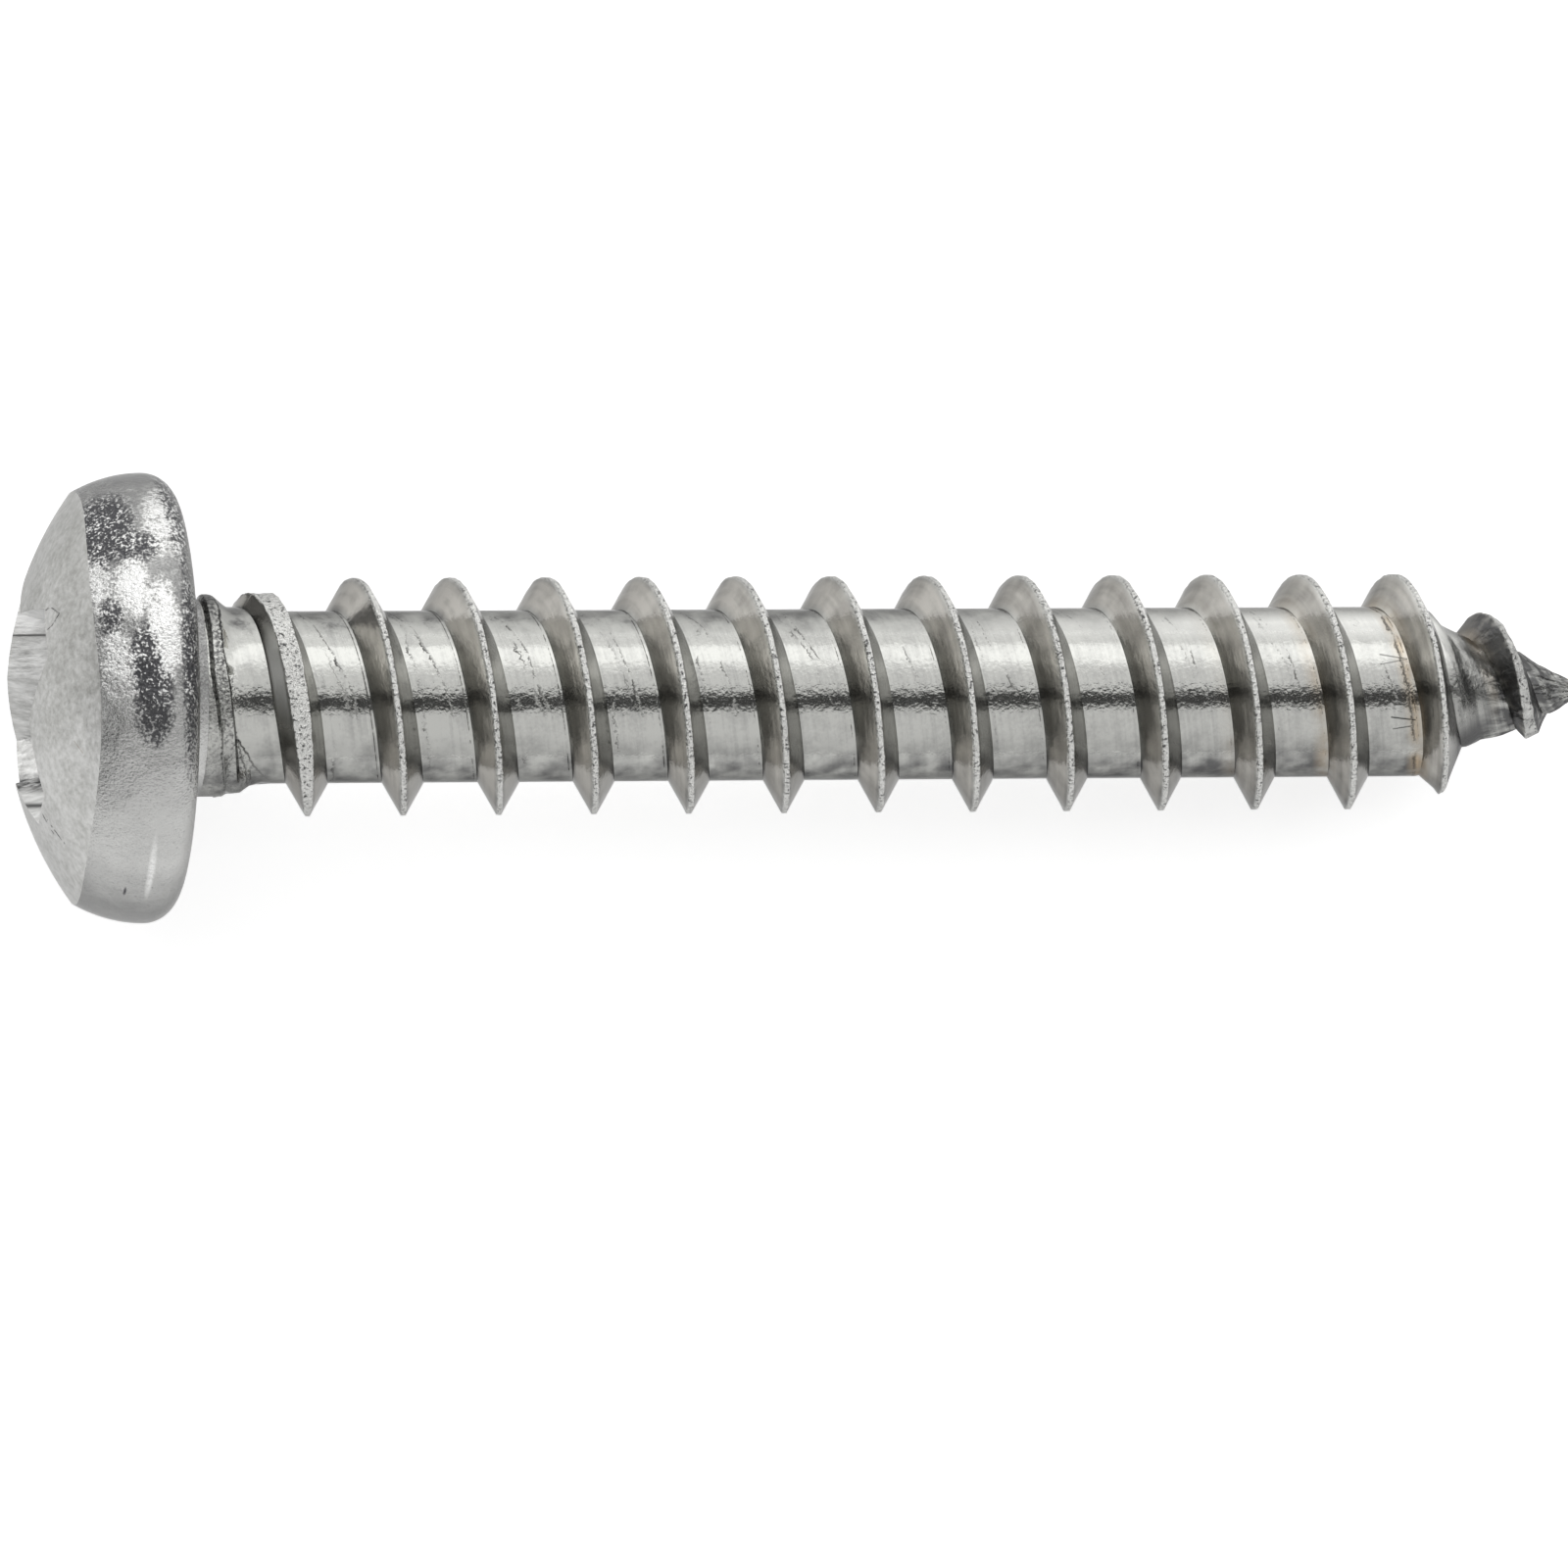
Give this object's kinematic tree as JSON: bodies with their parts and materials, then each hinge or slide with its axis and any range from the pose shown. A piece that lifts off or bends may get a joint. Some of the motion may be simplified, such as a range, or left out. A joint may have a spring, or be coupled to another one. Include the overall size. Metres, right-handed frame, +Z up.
{
  "type": "sheet metal screw",
  "caption": "Steel sheet metal screw with a domed pan head, a cross recess, a coarse thread up to the head and a sharp point, lying on its side.",
  "frame": {"origin": "on the surface that the screw lies on, below the middle of its length", "axes": "+X from the head towards the point, along the surface; +Z up; the screw's own axis slopes down towards the point by 4.8 degrees, because the head's rim and a thread crest both touch the surface"},
  "size_m": [0.0282, 0.0078, 0.0078],
  "materials": {
    "stainless_steel": "tumbled satin on the head, smooth rolled thread with rough crests"
  },
  "bodies": {
    "root": {"screw": "stainless_steel"}
  },
  "joints": []
}
